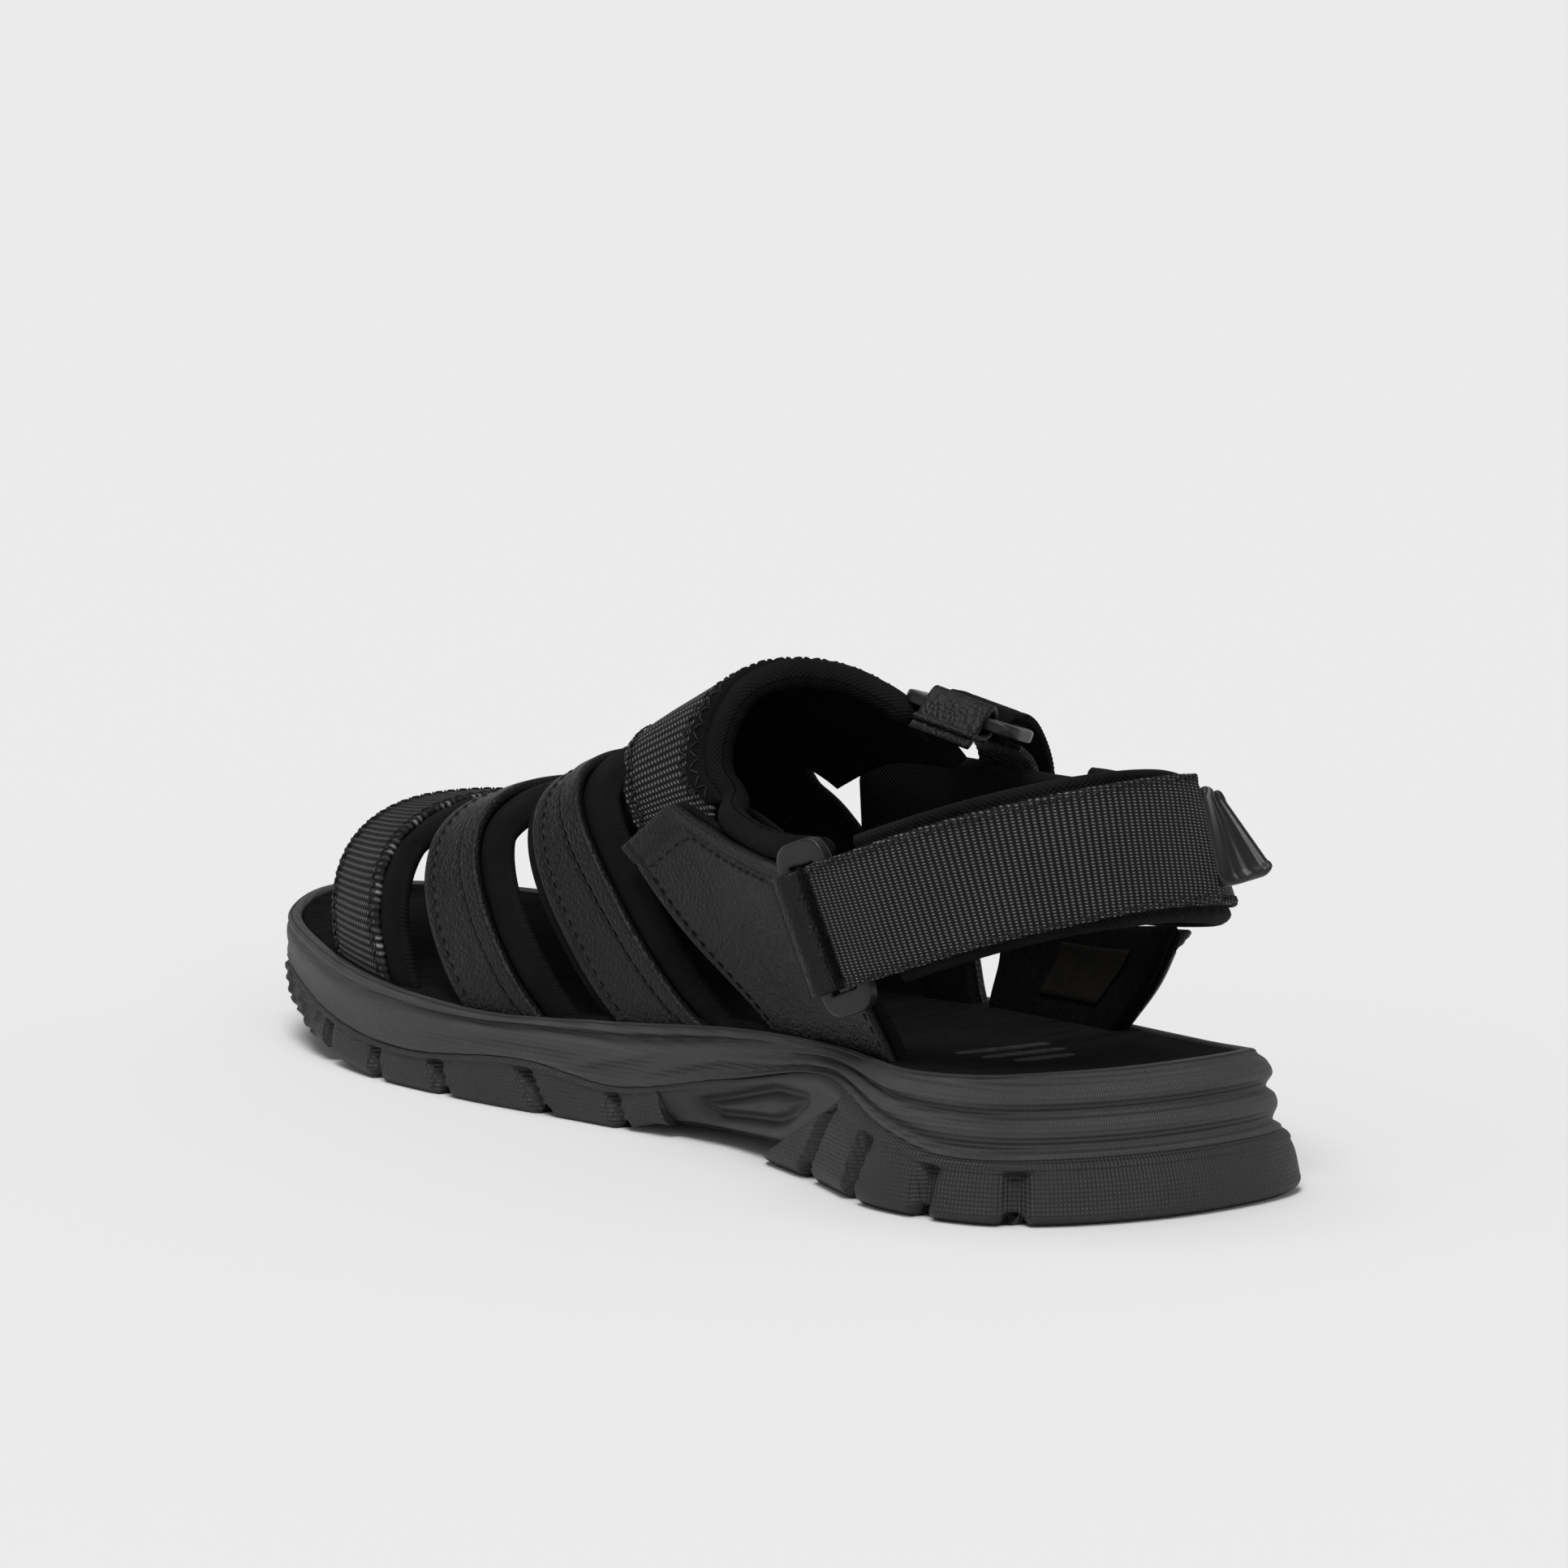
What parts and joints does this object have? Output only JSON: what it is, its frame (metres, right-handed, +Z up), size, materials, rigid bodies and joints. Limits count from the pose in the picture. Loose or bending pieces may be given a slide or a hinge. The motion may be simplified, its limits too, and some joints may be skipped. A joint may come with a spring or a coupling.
{
  "type": "strappy sport sandal",
  "caption": "Right-foot sport sandal with a lugged sole, padded crossing straps over the toes and instep, and hook-and-loop closures at the heel and instep.",
  "frame": {"origin": "on the ground, in the middle of the sole's length and width", "axes": "+X to the toe, +Y to the inner (medial) side of the right foot, +Z up"},
  "size_m": [0.296, 0.1061, 0.0944],
  "materials": {
    "rubber": "matt black moulded tread rubber",
    "bridge": "smooth satin black arch bridge",
    "foam": "dark grey moulded foam with a fine twill texture",
    "suede": "near-black microsuede",
    "neoprene": "black padded stretch lining",
    "leather": "black fine-grained leather",
    "webbing": "black ribbed webbing",
    "plastic": "satin dark grey moulded plastic",
    "hook_and_loop": "black hook and loop tape"
  },
  "bodies": {
    "sandal": {"outsole_heel": "rubber", "outsole_forefoot": "rubber", "arch_bridge": "bridge", "midsole": "foam", "footbed_foam": "foam", "footbed_cover": "suede", "toe_strap_lining": "neoprene", "toe_strap_webbing": "webbing", "second_strap_lining": "neoprene", "second_strap_leather": "leather", "third_strap_lining": "neoprene", "third_strap_leather": "leather", "spine_front": "neoprene", "spine_middle": "neoprene", "spine_rear": "neoprene", "instep_lining": "neoprene", "instep_webbing": "webbing", "collar_roll": "neoprene", "medial_quarter_lining": "neoprene", "medial_quarter_leather": "leather", "lateral_front_quarter_lining": "neoprene", "lateral_front_quarter_leather": "leather", "lateral_heel_quarter_lining": "neoprene", "lateral_heel_quarter_leather": "leather", "heel_strap_pad": "neoprene", "heel_strap_webbing": "webbing", "heel_loop_patch": "hook_and_loop", "heel_ring_keeper": "leather", "lateral_ankle_pad": "neoprene", "instep_strap_webbing": "webbing", "instep_loop_patch": "hook_and_loop", "instep_ring_keeper": "leather"},
    "heel_ring_body": {"heel_ring": "plastic"},
    "heel_flap": {"heel_flap_webbing": "webbing", "heel_hook_patch": "hook_and_loop", "heel_pull_tab": "plastic"},
    "instep_ring_body": {"instep_ring": "plastic"},
    "instep_flap": {"instep_flap_webbing": "webbing", "instep_hook_patch": "hook_and_loop", "instep_pull_tab": "plastic"}
  },
  "joints": [
    {"name": "heel_ring_swing", "type": "hinge", "parent": "sandal", "child": "heel_ring_body", "pos_m": [-0.08499, 0.04741, 0.05066], "axis": [-0.2996, -0.1945, -0.934], "range_deg": [0, 30]},
    {"name": "heel_flap_open", "type": "hinge", "parent": "heel_ring_body", "child": "heel_flap", "pos_m": [-0.09405, 0.04564, 0.05393], "axis": [-0.2996, -0.1945, -0.934], "range_deg": [0, 110]},
    {"name": "instep_ring_swing", "type": "hinge", "parent": "sandal", "child": "instep_ring_body", "pos_m": [-0.04276, -0.01636, 0.08356], "axis": [-0.8631, -0.4394, -0.2489], "range_deg": [0, 30]},
    {"name": "instep_flap_open", "type": "hinge", "parent": "instep_ring_body", "child": "instep_flap", "pos_m": [-0.03797, -0.0247, 0.08167], "axis": [-0.8631, -0.4394, -0.2489], "range_deg": [0, 110]}
  ]
}
